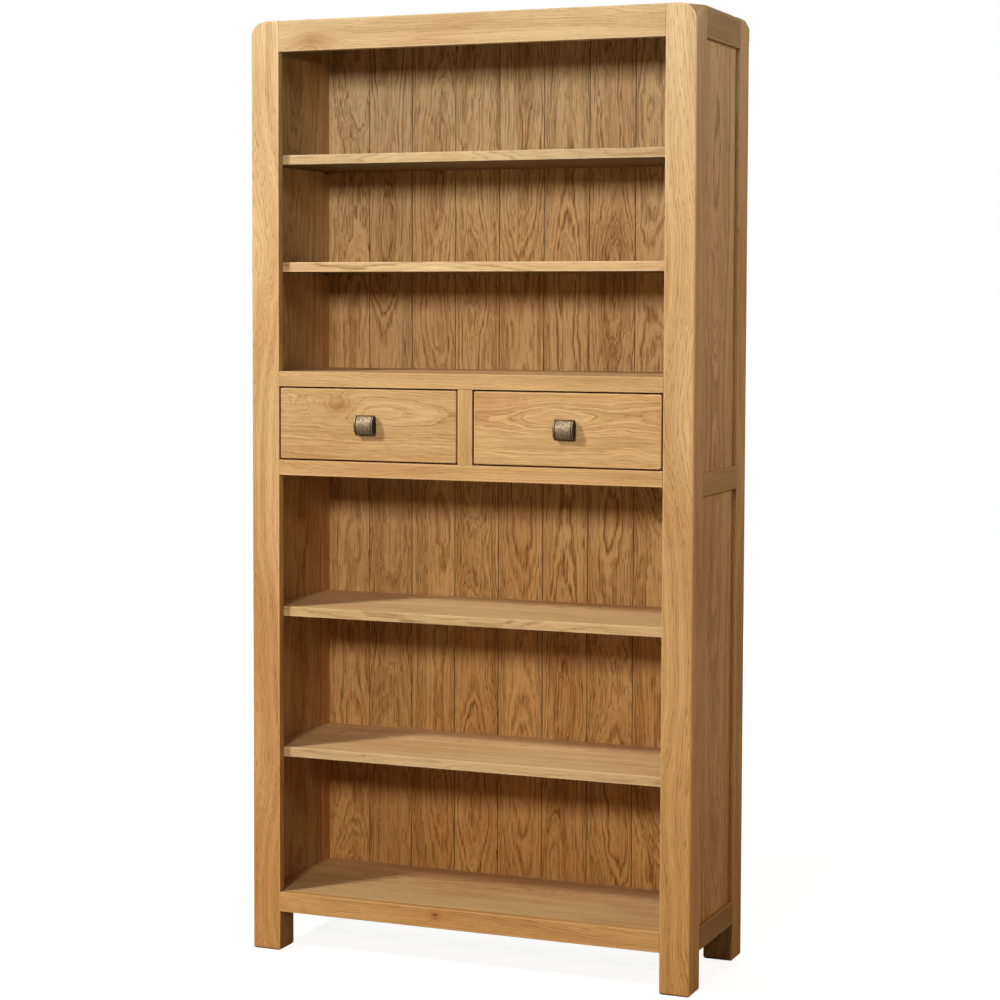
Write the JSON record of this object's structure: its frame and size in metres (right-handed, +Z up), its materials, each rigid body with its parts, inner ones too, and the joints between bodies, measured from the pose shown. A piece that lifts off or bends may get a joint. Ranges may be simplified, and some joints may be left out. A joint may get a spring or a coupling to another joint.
{
  "type": "bookcase with drawers",
  "caption": "Tall oak bookcase with open shelves above and below a row of drawers, panelled sides, a boarded back and square metal knobs.",
  "frame": {"origin": "centre of the overall box at floor level, under the feet", "axes": "+Z up, +X to the right seen from the front, the front with the drawers faces -Y"},
  "size_m": [0.945, 0.3652, 1.9],
  "materials": {
    "frame_oak": "waxed solid oak",
    "panel_oak": "waxed oak panel",
    "board_oak": "waxed solid oak",
    "back_oak": "waxed oak boarding",
    "drawer_oak": "waxed solid oak",
    "box_oak": "plain sanded oak",
    "aged_pewter": "aged pewter",
    "screw_steel": "plain"
  },
  "bodies": {
    "carcass": {"post_front_left": "frame_oak", "post_front_right": "frame_oak", "post_rear_left": "frame_oak", "post_rear_right": "frame_oak", "rail_side_top_left": "frame_oak", "rail_side_top_right": "frame_oak", "rail_side_middle_left": "frame_oak", "rail_side_middle_right": "frame_oak", "rail_side_bottom_left": "frame_oak", "rail_side_bottom_right": "frame_oak", "rail_front_top": "frame_oak", "rail_front_upper": "frame_oak", "rail_front_lower": "frame_oak", "rail_front_bottom": "frame_oak", "mullion": "frame_oak", "rail_rear_top": "frame_oak", "rail_rear_bottom": "frame_oak", "panel_side_upper_left": "panel_oak", "panel_side_upper_right": "panel_oak", "panel_side_lower_left": "panel_oak", "panel_side_lower_right": "panel_oak", "board_top": "board_oak", "board_bay_top": "board_oak", "board_bay_floor": "board_oak", "board_bottom": "board_oak", "shelf_1": "board_oak", "shelf_2": "board_oak", "shelf_3": "board_oak", "shelf_4": "board_oak", "back_board_1": "back_oak", "back_board_2": "back_oak", "back_board_3": "back_oak", "back_board_4": "back_oak", "back_board_5": "back_oak", "back_board_6": "back_oak", "back_board_7": "back_oak", "back_board_8": "back_oak", "back_board_9": "back_oak", "guide_left": "box_oak", "guide_right": "box_oak", "guide_centre": "box_oak", "stop_left": "box_oak", "stop_right": "box_oak"},
    "drawer_left": {"drawer_left_front": "drawer_oak", "drawer_left_side_outer": "box_oak", "drawer_left_side_inner": "box_oak", "drawer_left_back": "box_oak", "drawer_left_bottom": "box_oak", "drawer_left_knob": "aged_pewter", "drawer_left_screw": "screw_steel"},
    "drawer_right": {"drawer_right_front": "drawer_oak", "drawer_right_side_outer": "box_oak", "drawer_right_side_inner": "box_oak", "drawer_right_back": "box_oak", "drawer_right_bottom": "box_oak", "drawer_right_knob": "aged_pewter", "drawer_right_screw": "screw_steel"}
  },
  "joints": [
    {"name": "drawer_left_slide", "type": "slide", "parent": "carcass", "child": "drawer_left", "axis": [0, -1, 0], "range_m": [0, 0.235]},
    {"name": "drawer_right_slide", "type": "slide", "parent": "carcass", "child": "drawer_right", "axis": [0, -1, 0], "range_m": [0, 0.235]}
  ]
}
